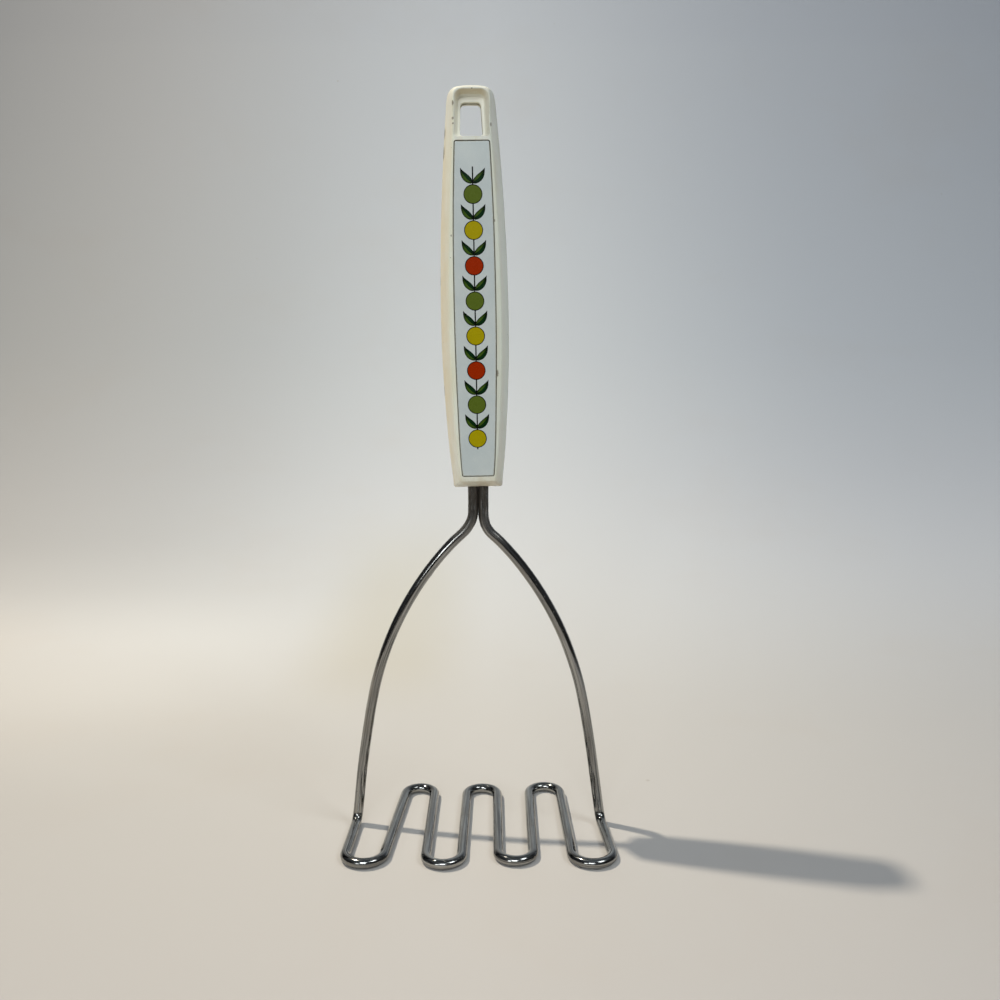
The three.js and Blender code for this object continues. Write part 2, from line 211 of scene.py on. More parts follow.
def outline(b):
    """The handle's outline inset by b at the sides and a little less over the top; always the same number of points."""
    d = np.gradient(SIDE, axis=0)
    d /= np.linalg.norm(d, axis=1)[:, None]
    k = np.array([1 - 0.35 * smooth(z, 128, 144) for z in SIDE[:, 1]]) * b
    off = SIDE + np.stack([-d[:, 1], d[:, 0]], 1) * k[:, None]
    off[-1] = (0, SIDE[-1][1] - k[-1])
    foot = b + CORNER_R
    first = int(np.argmax(off[:, 1] >= foot))
    xs = off[first][0]
    right = [
        (xs - CORNER_R + CORNER_R * math.sin(f), foot - CORNER_R * math.cos(f))
        for f in np.linspace(0, math.pi / 2, 9)
    ]
    keep = off[first:]
    s = np.r_[0, np.cumsum(np.linalg.norm(np.diff(keep, axis=0), axis=1))]
    u = MARKS * s[-1]
    right += list(zip(np.interp(u, s, keep[:, 0]), np.interp(u, s, keep[:, 1])))
    all_ = right + [(0.0, float(off[-1][1]))] + [(-x, z) for x, z in reversed(right)]
    # a few points along the straight bottom edge
    for t in np.linspace(-1, 1, 9)[1:-1]:
        all_.append((t * (xs - CORNER_R), foot - CORNER_R))
    return np.array(all_)


def plaque_half(z):
    w, h = np.array([p[0] for p in PLAQUE]), np.array([p[1] for p in PLAQUE])
    m = np.gradient(w, h)
    i = int(np.clip(np.searchsorted(h, z) - 1, 0, len(h) - 2))
    d = h[i + 1] - h[i]
    t = (z - h[i]) / d
    return (
        (2 * t**3 - 3 * t**2 + 1) * w[i] + (t**3 - 2 * t**2 + t) * d * m[i]
        + (3 * t**2 - 2 * t**3) * w[i + 1] + (t**3 - t**2) * d * m[i + 1]
    )


def plaque_loop(g, r=PLAQUE_R):
    z0, z1 = PLAQUE[0][1] - g, PLAQUE[-1][1] + g
    r = max(r + g, 0.25)
    arc = lambda cx, cz, f0: [
        (cx + r * math.cos(f), cz + r * math.sin(f)) for f in np.linspace(f0, f0 + math.pi / 2, 8)
    ]
    w0, w1 = plaque_half(PLAQUE[0][1]) + g, plaque_half(PLAQUE[-1][1]) + g
    up = [(plaque_half(z) + g, z) for z in np.linspace(z0 + r, z1 - r, 42)[1:-1]]
    return np.array(
        arc(w0 - r, z0 + r, -math.pi / 2) + up + arc(w1 - r, z1 - r, 0) + arc(-w1 + r, z1 - r, math.pi / 2)
        + [(-x, z) for x, z in reversed(up)] + arc(-w0 + r, z0 + r, math.pi)
    )


def pocket_loop(t, n=96):
    """From the pocket's mouth at t = 0 to its floor at t = 1; below 0 it is outside the mouth."""
    c = [tuple(np.array(a) + (np.array(b) - np.array(a)) * t) for a, b in zip(POCKET_MOUTH, POCKET_BASE)]
    return densify(rounded(c, 10), n)


def hole_loop(g, n=96):
    c = [(x + math.copysign(g, x), z + (g if z > 130 else -g * 0.6), r + g) for x, z, r in HANG_HOLE]
    return densify(rounded(c, 10), n)


def bezier(a, b, c, n):
    a, b, c = (np.array(p, float) for p in (a, b, c))
    return [tuple((1 - t) ** 2 * a + 2 * t * (1 - t) * b + t * t * c) for t in np.linspace(0, 1, n)]


def shell(name, s):
    """One half of the handle. s is -1 for the front and 1 for the back."""
    o = Build()
    face = HALF_DEPTH
    seam = 0.03
    # parting edge, then the rounded side up to the flat rim
    rings = [o.ring(outline(0.14), s * seam, 1.0), o.ring(outline(0.05), s * 0.05, 1.0), o.ring(outline(0.0), s * 0.14, 0.6)]
    for v in np.linspace(0, 1, 23)[1:]:
        u = BEVEL * v**1.5
        rings.append(o.ring(outline(u), s * (0.14 + (face - 0.14) * v - 0.12 * smooth(v, 0.86, 1.0)), 0.25 if v < 0.1 else 0.0))
    rings.append(o.ring(outline(BEVEL + 0.16), s * (face - 0.03)))
    rim = o.ring(outline(BEVEL + 0.34), s * face)
    rings.append(rim)
    o.chain(rings)
    # hang pocket: rounded mouth, sloped wall, rounded foot, floor, hole edge, hole wall
    prof = bezier((-0.2, face), (0.0, face), (0.12, face - 0.75), 9) + bezier((0.5, 5.1), (0.82, POCKET_FLOOR), (1.16, POCKET_FLOOR), 14)
    prof.insert(0, (-0.25, face))
    pk = []
    for t, y in prof:
        pk.append(o.ring(pocket_loop(t), s * y, 0.0, 1.0 if t > 0 else 0.4 if t > -0.1 else 0.0))
    hole = [o.ring(hole_loop(0.25 - 0.25 * math.sin(f)), s * (POCKET_FLOOR - 0.25 + 0.25 * math.cos(f)), 0.2, 1.0) for f in np.linspace(0, math.pi / 2, 6)]
    hole.append(o.ring(hole_loop(0.0), s * 0.12, 0.7, 1.0))
    end = o.ring(hole_loop(0.1), s * seam, 1.0, 1.0)
    hole.append(end)
    o.chain(pk + hole)
    mouth = pk[0]
    if s < 0:
        # recess of the plaque
        g0 = 0.12
        rc = [o.ring(plaque_loop(g0 + 0.24), s * face)]
        for f in np.linspace(0, math.pi / 2, 6):
            rc.append(o.ring(plaque_loop(g0 + 0.18 * (1 - math.sin(f))), s * (face - 0.18 * (1 - math.cos(f))), 0.12 + 0.5 * f / 1.57))
        rc.append(o.ring(plaque_loop(g0), s * (face - 0.45), 1.0))
        rc.append(o.ring(plaque_loop(g0), s * RECESS_FLOOR, 1.0))
        rc.append(o.ring(plaque_loop(g0 - 0.6, 1.0), s * RECESS_FLOOR, 0.8))
        o.chain(rc)
        o.cap(rc[-1])
        o.cap(rim, mouth, rc[0])
    else:
        o.cap(rim, mouth)
    # parting flange and the cavity behind it
    d = np.linspace(3.2, 121.5, 40)
    half = np.interp(d, SIDE[:1300, 1], SIDE[:1300, 0]) - 2.4
    loop = np.vstack([np.stack([half, d], 1), np.stack([-half, d], 1)[::-1]])
    cav = [
        o.ring(loop, s * seam, 0.4), o.ring(loop, s * 1.2, 0.4),
        o.ring(loop * np.array([0.94, 1.0]), s * 4.3, 0.4),
    ]
    o.chain(cav)
    o.cap(cav[-1])
    o.cap(rings[0], cav[0], end)
    return o.object(name)


def plaque():
    o = Build()
    e = 0.16
    # front edge rounded, back square
    rings = [o.ring(plaque_loop(-0.12 - 0.5, 1.0), -PLAQUE_FACE, 0.0), o.ring(plaque_loop(-0.12 - 0.24), -PLAQUE_FACE, 0.25)]
    for f in np.linspace(0, math.pi / 2, 6):
        rings.append(o.ring(plaque_loop(-0.12 - e + e * math.sin(f)), -PLAQUE_FACE + e - e * math.cos(f), 0.4 + 0.3 * f))
    rings.append(o.ring(plaque_loop(-0.12), -PLAQUE_FACE + 1.0, 1.0))
    rings.append(o.ring(plaque_loop(-0.22), -PLAQUE_FACE + 1.15, 1.0))
    o.chain(rings)
    o.cap(rings[0])
    o.cap(rings[-1])
    return o.object("inlay_plaque_plate")


# ------------------------------------------------------------------ wire
def wire_points():
    """The wire's centre line from tip to tip, in the row frame, millimetres."""

    def leg(s):
        out = []
        hook_z, hook_r, tip = 58.0, 2.6, 6.9
        out.append(from_handle([s * tip, 0, hook_z]) - SHIFT)
        for f in np.linspace(0, math.pi / 2, 12):
            out.append(from_handle([s * (NECK_HALF + hook_r - hook_r * math.sin(f)), 0, hook_z - hook_r + hook_r * math.cos(f)]) - SHIFT)
        out.append(from_handle([s * NECK_HALF, 0, 12.0]) - SHIFT)
        out.append(from_handle([s * NECK_HALF, 0, 3.0]) - SHIFT)
        out.append(np.array([s * NECK_HALF, 0, HANDLE_Z - 3.0]))
        shift = lambda z: LEG_MID * smooth(NECK_Z - z, 0, 9)
        for f in np.linspace(0, math.pi / 4, 14):
            z = NECK_Z - NECK_BEND_R * math.sin(f)
            out.append(np.array([s * (NECK_HALF + NECK_BEND_R * (1 - math.cos(f))) + shift(z), 0, z]))
        for x, z in catmull(LEG, 150)[2:]:
            tuck = LEFT_TUCK * (1 - smooth(z, 4, 26)) if s < 0 else 0.0
            swing = FOOT[0 if s < 0 else 1][1] * min(max((LEAN_FROM - z) / (LEAN_FROM - WIRE_R), 0.0), 1.0) ** 1.3
            out.append(np.array([s * x + shift(z) + tuck, swing, z]))
        return out

    def run(a, b):
        D = np.array([b[0] - a[0], b[1] - a[1]], float)
        k = b[3] * b[2] - a[3] * a[2]
        L = math.sqrt(D @ D - k * k)
        f = -math.atan2(k, L)
        d = np.array([D[0] * math.cos(f) - D[1] * math.sin(f), D[0] * math.sin(f) + D[1] * math.cos(f)]) / math.hypot(*D)
        n = np.array([-d[1], d[0]])
        return d, np.array(a[:2]) - n * a[3] * a[2], np.array(b[:2]) - n * b[3] * b[2]

    ends = [(*FOOT[0], 0, 1), *TURNS, (*FOOT[1], 0, 1)]
    runs = [run(a, b) for a, b in zip(ends, ends[1:])]

    def foot(pts, at, d):
        corner = np.array([*at, WIRE_R])
        down = corner - pts[-1]
        down /= np.linalg.norm(down)
        flat = np.array([d[0], d[1], 0])
        return [
            corner - down * FOOT_R * (1 - math.sin(f)) + flat * FOOT_R * (1 - math.cos(f))
            for f in np.linspace(0, math.pi / 2, 16)
        ]

    left, right = leg(-1), leg(1)
    path = left + foot(left, FOOT[0], runs[0][0])
    for i, (cx, cy, r, s) in enumerate(TURNS):
        a, b = runs[i][2], runs[i + 1][1]
        f0 = math.atan2(a[1] - cy, a[0] - cx)
        turn = math.atan2(b[1] - cy, b[0] - cx) - f0
        while s * turn < 0:
            turn += s * 2 * math.pi
        for k in range(37):
            f = f0 + turn * k / 36
            path.append(np.array([cx + r * math.cos(f), cy + r * math.sin(f), WIRE_R]))
    path += list(reversed(foot(right, FOOT[1], -runs[-1][0])))
    path += list(reversed(right))
    return np.array(path) + SHIFT


def wire():
    raw = wire_points()
    s = np.r_[0, np.cumsum(np.linalg.norm(np.diff(raw, axis=0), axis=1))]
    n = int(s[-1] / 0.62)
    u = np.linspace(0, s[-1], n)
    p = np.stack([np.interp(u, s, raw[:, i]) for i in range(3)], 1)
    # the drawn wire is never dead straight: a slow wander of a few hundredths, flat on the head
    wander = np.stack([np.sin(u / 23.0 + 1) + 0.6 * np.sin(u / 9.1), 0 * u, 0 * u], 1) * 0.035
    p = p + wander * ((p[:, 2] > 8) & (p[:, 2] < 124))[:, None]
    t = np.gradient(p, axis=0)
    t /= np.linalg.norm(t, axis=1)[:, None]
    bend = np.linalg.norm(np.gradient(t, axis=0), axis=1) / 0.62
    bend = np.convolve(bend, np.ones(5) / 5, mode="same")
    sides = 30
    nrm = np.array([0.0, -1.0, 0.0])
    verts, coord, curv = [], [], []
    for i in range(n):
        nrm = nrm - t[i] * (nrm @ t[i])
        nrm /= np.linalg.norm(nrm)
        bi = np.cross(t[i], nrm)
        for k in range(sides):
            f = 2 * math.pi * k / sides
            d = nrm * math.cos(f) + bi * math.sin(f)
            r = WIRE_R - 0.006 - 0.01 * (1 + math.sin(u[i] * 0.7 + 3 * f)) * 0.5
            if p[i][2] > 119:
                r -= 0.015
            q = p[i] + d * r
            verts.append(q)
            coord.append((u[i], WIRE_R * math.cos(f), WIRE_R * math.sin(f)))
            curv.append(min(bend[i] * 6.0, 1.0))
    faces = []
    for i in range(n - 1):
        for k in range(sides):
            j = (k + 1) % sides
            faces.append((i * sides + k, i * sides + j, (i + 1) * sides + j, (i + 1) * sides + k))
    # sheared ends: a small rounded edge and a flat face
    for i, sign in ((0, -1), (n - 1, 1)):
        base = i * sides
        prev = list(range(base, base + sides))
        for shrink, out in ((0.9, 0.12), (0.6, 0.18), (0.25, 0.2)):
            cur = []
            for k in range(sides):
                q = p[i] + (verts[base + k] - p[i]) * shrink + t[i] * sign * out
                cur.append(len(verts))
                verts.append(q)
                coord.append(coord[base + k])
                curv.append(0.0)
            for k in range(sides):
                j = (k + 1) % sides
                faces.append((prev[k], prev[j], cur[j], cur[k]))
            prev = cur
        faces.append(tuple(prev))
    me = bpy.data.meshes.new("bent_wire")
    me.from_pydata([tuple(q * MM) for q in verts], [], faces)
    at = me.attributes.new("wc", "FLOAT_VECTOR", "POINT")
    at.data.foreach_set("vector", np.array(coord, np.float32).ravel())
    at = me.attributes.new("loc", "FLOAT_VECTOR", "POINT")
    at.data.foreach_set("vector", (np.array(verts) - SHIFT).astype(np.float32).ravel())
    at = me.attributes.new("curv", "FLOAT", "POINT")
    at.data.foreach_set("value", np.array(curv, np.float32))
    bm = bmesh.new()
    bm.from_mesh(me)
    bmesh.ops.recalc_face_normals(bm, faces=bm.faces)
    bm.to_mesh(me)
    bm.free()
    me.shade_smooth()
    ob = bpy.data.objects.new("bent_wire", me)
    scene.collection.objects.link(ob)
    return ob


# ------------------------------------------------------------------ printed band
def lin(c):
    return tuple(((x / 255) / 12.92) if x <= 10.31 else (((x / 255) + 0.055) / 1.055) ** 2.4 for x in c)


BLACK = lin((5, 6, 5))


class Print:
    """Flat ink shapes in layers on the plaque's face. Points are handle x and z in millimetres."""

    def __init__(self):
        self.v, self.f, self.c = [], [], []

    def put(self, pts, faces, cols, layer):
        base = len(self.v)
        y = -PLAQUE_FACE - 0.006 - 0.004 * layer
        for (x, z), c in zip(pts, cols):
            self.v.append((x, y, z))
            self.c.append(c)
        for f in faces:
            self.f.append(tuple(base + i for i in f))

    def fan(self, loop, colour, layer, rings=5, centre=None):
        """A filled closed loop; colour is a colour or a function of x, z and the share of the way to the edge."""
        loop = np.asarray(loop, float)
        c = loop.mean(0) if centre is None else np.array(centre, float)
        pts, cols, faces = [c], [], []
        fn = colour if callable(colour) else (lambda x, z, k: colour)
        cols.append(fn(c[0], c[1], 0.0))
        n = len(loop)
        for r in range(1, rings + 1):
            k = r / rings
            for q in loop:
                p = c + (q - c) * k
                pts.append(p)
                cols.append(fn(p[0], p[1], k))
        for i in range(n):
            j = (i + 1) % n
            faces.append((0, 1 + i, 1 + j))
            for r in range(rings - 1):
                a, b = 1 + r * n, 1 + (r + 1) * n
                faces.append((a + i, b + i, b + j, a + j))
        self.put(pts, faces, cols, layer)

    def stroke(self, pts, w0, w1, colour, layer, mid=None):
        """A tapered line through pts; mid is its width in the middle."""
        p = catmull(pts, max(8, 5 * len(pts))) if len(pts) > 2 else np.linspace(pts[0], pts[1], 6)
        t = np.gradient(p, axis=0)
        t /= np.linalg.norm(t, axis=1)[:, None] + 1e-9
        n = np.stack([-t[:, 1], t[:, 0]], 1)
        k = np.linspace(0, 1, len(p))
        w = w0 + (w1 - w0) * k
        if mid is not None:
            w = w + (mid - (w0 + w1) / 2) * np.sin(np.pi * k)
        w = w * 0.68
        a, b = p + n * w[:, None], p - n * w[:, None]
        m = len(p)
        self.put(np.vstack([a, b]), [(i, i + 1, m + i + 1, m + i) for i in range(m - 1)], [colour] * (2 * m), layer)

    def leaf(self, base, tip, width, bend, layer, light, dark, vein=True, edge=0.33):
        """A pointed leaf: black ground, one light and one dark half, black towards the tip."""
        base, tip = np.array(base, float), np.array(tip, float)
        d = tip - base
        length = np.linalg.norm(d)
        n = np.array([-d[1], d[0]]) / length
        k = np.linspace(0, 1, 15)
        mid = base + d * k[:, None] + n * (bend * length * 4 * k * (1 - k))[:, None]
        t = np.gradient(mid, axis=0)
        t /= np.linalg.norm(t, axis=1)[:, None]
        nn = np.stack([-t[:, 1], t[:, 0]], 1)
        w = width / 2 * np.sin(np.pi * k**0.85) ** 0.85
        w[-1] = 0
        g = w + edge * (1 - 0.6 * k)
        g[-1] = 0.02
        grow = mid.copy()
        grow[-1] += t[-1] * edge * 1.6
        a, b = grow + nn * g[:, None], grow - nn * g[:, None]
        m = len(k)
        self.put(np.vstack([a, b]), [(i, i + 1, m + i + 1, m + i) for i in range(m - 1)], [BLACK] * (2 * m), layer)
        fade = lambda c, q: tuple(x * (1 - 0.9 * smooth(q, 0.5, 0.95)) * (1 - 0.6 * (1 - smooth(q, 0.0, 0.3))) for x in c)
        for side, col in ((1, light), (-1, dark)):
            e = mid + nn * (side * w)[:, None]
            cols = [fade(col, q) for q in k] + [fade(tuple(x * 0.8 for x in col), q) for q in k]
            self.put(np.vstack([mid, e]), [(i, i + 1, m + i + 1, m + i) for i in range(m - 1)], cols, layer + 1)
        if vein:
            self.stroke([mid[0], mid[5], mid[11]], 0.2, 0.06, BLACK, layer + 2)

    def blob(self, cx, cz, rx, rz, n=64):
        f = 2 * math.pi * np.arange(n) / n
        return np.stack([cx + rx * np.cos(f), cz + rz * np.sin(f)], 1)

    def disc(self, x, z, r, colour, layer, ring=0.2):
        """A plain round dot with a dark outline."""
        self.fan(self.blob(x, z, r + ring, r + ring), BLACK, layer, rings=1)
        self.fan(self.blob(x, z, r, r), colour, layer + 1, rings=2)

    def object(self, name):
        me = bpy.data.meshes.new(name)
        pts = from_handle(np.array(self.v)) * MM
        me.from_pydata([tuple(p) for p in pts], [], self.f)
        at = me.color_attributes.new("ink", "FLOAT_COLOR", "POINT")
        at.data.foreach_set("color", np.array([(*c, 1.0) for c in self.c], np.float32).ravel())
        at = me.attributes.new("loc", "FLOAT_VECTOR", "POINT")
        at.data.foreach_set("vector", np.array(self.v, np.float32).ravel())
        # every shape faces the front
        front = Vector(tuple(HANDLE_R @ np.array([0, -1, 0])))
        bm = bmesh.new()
        bm.from_mesh(me)
        bm.normal_update()
        for f in bm.faces:
            if f.normal.dot(front) < 0:
                f.normal_flip()
        bm.to_mesh(me)
        bm.free()
        ob = bpy.data.objects.new(name, me)
        scene.collection.objects.link(ob)
        return ob


def plain_band():
    """An even row of plain round dots on a straight line, with the same mirrored pair of leaves after each."""
    p = Print()
    inks = (lin((172, 156, 8)), lin((90, 106, 34)), lin((158, 42, 2)))
    light, dark = lin((66, 94, 28)), lin((13, 50, 19))
    pitch, first, count = 12.5, 19.0, 8
    p.stroke([(0.0, first - 4.0), (0.0, first + pitch * (count - 1) + 9.5)], 0.35, 0.35, BLACK, 0)
    for i in range(count):
        z = first + pitch * i
        p.disc(0.0, z, 3.1, inks[i % 3], 4, ring=0.3)
        for side in (-1, 1):
            p.leaf((0.0, z + 4.0), (side * 4.2, z + 8.6), 2.0, -0.1 * side, 1, light, dark)
    return p.object("plaque_print")


# ------------------------------------------------------------------ shader helpers
def N(t, kind, ins=None, **attrs):
    n = t.nodes.new(kind)
    for k, v in attrs.items():
        setattr(n, k, v)
    for k, v in (ins or {}).items():
        s = n.inputs[k]
        if isinstance(v, bpy.types.NodeSocket):
            t.links.new(v, s)
        else:
            s.default_value = v
    return n


def math_(t, op, a, b=None, c=None, clamp=False):
    n = t.nodes.new("ShaderNodeMath")
    n.operation, n.use_clamp = op, clamp
    for i, v in enumerate((a, b, c)):
        if v is None:
            continue
        if isinstance(v, bpy.types.NodeSocket):
            t.links.new(v, n.inputs[i])
        else:
            n.inputs[i].default_value = v
    return n.outputs[0]


def ramp(t, v, a, b, lo=0.0, hi=1.0):
    return N(
        t, "ShaderNodeMapRange",
        {"Value": v, "From Min": a, "From Max": b, "To Min": lo, "To Max": hi},
        interpolation_type="SMOOTHSTEP",
    ).outputs["Result"]


def mix(t, f, a, b, blend="MIX"):
    n = t.nodes.new("ShaderNodeMix")
    n.data_type, n.blend_type = "RGBA", blend
    for i, v in ((0, f), (6, a), (7, b)):
        if isinstance(v, bpy.types.NodeSocket):
            t.links.new(v, n.inputs[i])
        else:
            n.inputs[i].default_value = v if i == 0 else (*v[:3], 1.0)
    return n.outputs[2]


def noise(t, vec, scale, detail=3.0, rough=0.5, squeeze=None, distort=0.0):
    if squeeze:
        vec = N(t, "ShaderNodeMapping", {"Vector": vec, "Scale": squeeze}).outputs[0]
    return N(
        t, "ShaderNodeTexNoise",
        {"Vector": vec, "Scale": scale, "Detail": detail, "Roughness": rough, "Distortion": distort},
    ).outputs["Fac"]


def spots(t, vec, places, warp):
    """1 inside soft ellipsoids at (x, y, z, rx, ry, rz), edges broken up by warp."""
    total = None
    for x, y, z, a, b, c in places:
        d = N(t, "ShaderNodeVectorMath", {0: vec, 1: (x, y, z)}, operation="SUBTRACT").outputs[0]
        d = N(t, "ShaderNodeVectorMath", {0: d, 1: (1 / a, 1 / b, 1 / c)}, operation="MULTIPLY").outputs[0]
        d = N(t, "ShaderNodeVectorMath", {0: d}, operation="LENGTH").outputs["Value"]
        d = math_(t, "ADD", d, warp)
        v = ramp(t, d, 1.15, 0.55)
        total = v if total is None else math_(t, "MAXIMUM", total, v)
    return total


def material(name):
    m = bpy.data.materials.new(name)
    m.use_nodes = True
    t = m.node_tree
    b = next(n for n in t.nodes if n.type == "BSDF_PRINCIPLED")
    return m, t, b


def attr(t, name, out="Vector"):
    return N(t, "ShaderNodeAttribute", attribute_name=name).outputs[out]


# ------------------------------------------------------------------ materials
def plastic():
    m, t, b = material("aged_cream_plastic")
    loc = attr(t, "loc")
    sep = N(t, "ShaderNodeSeparateXYZ", {0: loc})
    x, y, z = sep.outputs
    big = noise(t, loc, 0.05, 3, 0.55)
    mid = noise(t, loc, 0.32, 4, 0.6)
    fine = noise(t, loc, 2.4, 5, 0.65)
    flow = noise(t, loc, 0.5, 3, 0.5, squeeze=(1.0, 1.0, 0.12))  # faint flow lines along the moulding
    cream, pale, tan = lin((233, 231, 213)), lin((238, 239, 228)), lin((226, 217, 192))
    col = mix(t, ramp(t, big, 0.35, 0.68), pale, cream)
    col = mix(t, math_(t, "MULTIPLY", ramp(t, flow, 0.42, 0.72), 0.35), col, tan)
    # yellowed along the left side, where it was held; painted light on the right side, which is made lighter and cooler
    left = math_(t, "MULTIPLY", ramp(t, x, -8.0, -12.0), ramp(t, mid, 0.15, 0.75, 0.45, 1.0))
    col = mix(t, math_(t, "MULTIPLY", left, 0.6), col, lin((236, 220, 184)))
    right = ramp(t, x, 7.5, 12.0)
    col = mix(t, math_(t, "MULTIPLY", right, 0.75), col, lin((244, 249, 238)))
    # painted light and shade on the front rim: the right rim is darkened and the left rim lightened
    face = ramp(t, y, -7.35, -7.62)
    col = mix(t, math_(t, "MULTIPLY", face, ramp(t, x, 5.6, 6.6)), col, mix(t, 1.0, col, (0.885, 0.91, 0.885), "MULTIPLY"))
    col = mix(t, math_(t, "MULTIPLY", face, ramp(t, x, -5.6, -6.6)), col, mix(t, 1.0, col, (1.07, 1.08, 1.02), "MULTIPLY"))
    # the bottom end is a little dirtier
    low = math_(t, "MULTIPLY", ramp(t, z, 7.0, 0.0), ramp(t, mid, 0.3, 0.7))
    col = mix(t, math_(t, "MULTIPLY", low, 0.5), col, lin((196, 178, 140)))
    # mottling
    col = mix(t, math_(t, "MULTIPLY", ramp(t, fine, 0.5, 0.8), 0.2), col, lin((204, 196, 170)))
    # hang pocket: lightened all over as painted light against its shade; a brown stain at the top of the pocket and on
    # the hole's upper wall, partly real dirt and partly painted shade
    pocket = attr(t, "pocket", "Fac")
    # painted light: the whole pocket lightened
    col = mix(t, math_(t, "MULTIPLY", pocket, 0.97), col, lin((250, 248, 234)))
    # brown stain at the pocket's top, partly real dirt and partly painted shade
    stain = math_(t, "MULTIPLY", math_(t, "MULTIPLY", ramp(t, z, 137.6, 140.2), pocket), ramp(t, mid, 0.22, 0.5, 0.35, 1.0))
    stain = math_(t, "MULTIPLY", stain, ramp(t, math_(t, "ABSOLUTE", x), 6.6, 3.2))
    stain = math_(t, "MULTIPLY", stain, ramp(t, y, -3.3, -4.6))
    col = mix(t, math_(t, "MULTIPLY", stain, 0.6), col, lin((210, 190, 142)))
    # the hole's upper wall tinted, partly real dirt and partly painted shade
    inside = math_(t, "MULTIPLY", math_(t, "MULTIPLY", pocket, ramp(t, math_(t, "ABSOLUTE", y), 2.75, 2.4)), ramp(t, z, 136.5, 138.3))
    col = mix(t, math_(t, "MULTIPLY", inside, 0.4), col, lin((232, 220, 172)))
    # grime in the grooves and the seam
    g = attr(t, "grime", "Fac")
    broken = noise(t, loc, 0.75, 4, 0.6)
    seam = math_(t, "MULTIPLY", math_(t, "MULTIPLY", ramp(t, math_(t, "ABSOLUTE", y), 0.55, 0.1), ramp(t, broken, 0.5, 0.62)), ramp(t, noise(t, loc, 0.06, 2, 0.5), 0.42, 0.6))
    groove = math_(t, "MULTIPLY", ramp(t, g, 0.15, 0.8), ramp(t, broken, 0.2, 0.55, 0.55, 1.0))
    dirt = math_(t, "MAXIMUM", math_(t, "MULTIPLY", groove, ramp(t, z, 116.0, 125.0, 0.5, 0.85)), math_(t, "MULTIPLY", seam, 0.95))
    # marks: (x, y, z) and their half sizes
    warp = math_(t, "MULTIPLY", math_(t, "SUBTRACT", noise(t, loc, 1.6, 4, 0.7), 0.5), 1.3)
    marks = spots(
        t, loc,
        [
            (-6.5, -7.6, 137.6, 0.38, 0.9, 0.95), (-6.75, -7.7, 132.5, 0.6, 0.9, 0.5), (-6.6, -7.7, 130.7, 0.45, 0.8, 0.35),
            (6.9, -7.6, 130.3, 0.4, 0.9, 0.9), (0.3, -7.6, 142.5, 0.35, 0.8, 0.2), (-8.1, -7.5, 92.2, 0.28, 0.5, 0.5),
            (-8.4, -7.4, 84.4, 0.25, 0.5, 0.35), (7.75, -7.7, 42.9, 0.42, 0.7, 1.4), (7.6, -7.7, 97.3, 0.25, 0.6, 0.6),
            (-9.8, -1.0, 128.8, 0.7, 1.6, 2.3), (-10.25, -1.0, 122.0, 0.7, 1.7, 2.8), (-12.55, -0.5, 76.5, 0.5, 0.8, 2.4),
            (-12.0, -0.5, 36.2, 0.5, 0.8, 2.8), (12.2, -0.1, 88.0, 0.5, 0.35, 1.6), (10.4, -0.1, 14.8, 0.5, 0.4, 2.3),
            (9.4, -2.0, 99.0, 0.25, 0.5, 0.3), (-9.5, -6.0, 51.0, 0.3, 0.5, 0.25), (3.6, 7.7, 70.0, 0.5, 0.5, 0.3), (-5.2, 7.7, 30.0, 0.35, 0.5, 0.7),
        ],
        warp,
    )
    dirt = math_(t, "MAXIMUM", dirt, math_(t, "MULTIPLY", marks, 0.72))
    speck = N(t, "ShaderNodeTexVoronoi", {"Vector": loc, "Scale": 0.42, "Randomness": 1.0}, feature="F1")
    pick = ramp(t, N(t, "ShaderNodeSeparateColor", {0: speck.outputs["Color"]}).outputs[0], 0.86, 0.9)
    tiny = math_(t, "MULTIPLY", ramp(t, speck.outputs["Distance"], 0.09, 0.045), pick)
    dirt = math_(t, "MAXIMUM", dirt, math_(t, "MULTIPLY", tiny, 0.55))
    col = mix(t, dirt, col, mix(t, broken, lin((74, 62, 38)), lin((112, 98, 66))))
    t.links.new(col, b.inputs["Base Color"])
    # gloss: satin, varying with fine noise, dull where dirty
    rub = ramp(t, fine, 0.3, 0.7, 0.34, 0.5)
    rough = math_(t, "ADD", rub, math_(t, "MULTIPLY", dirt, 0.35))
    t.links.new(math_(t, "MINIMUM", rough, 0.9), b.inputs["Roughness"])
    # bump: orange peel, hairline scratches and the depth of the marks
    peel = noise(t, loc, 1.5, 3, 0.5)
    hair = noise(t, loc, 1.0, 2, 0.5, squeeze=(5.0, 5.0, 0.22), distort=0.4)
    line = ramp(t, math_(t, "ABSOLUTE", math_(t, "SUBTRACT", hair, 0.5)), 0.012, 0.0)
    line = math_(t, "MULTIPLY", line, ramp(t, mid, 0.5, 0.62))
    h = math_(t, "MULTIPLY", peel, 0.25)
    h = math_(t, "SUBTRACT", h, math_(t, "MULTIPLY", line, 0.12))
    h = math_(t, "SUBTRACT", h, math_(t, "MULTIPLY", marks, 0.5))
    h = math_(t, "SUBTRACT", h, math_(t, "MULTIPLY", tiny, 0.4))
    bump = N(t, "ShaderNodeBump", {"Height": h, "Strength": 0.35, "Distance": 0.00009})
    t.links.new(bump.outputs[0], b.inputs["Normal"])
    b.inputs["IOR"].default_value = 1.49
    return m


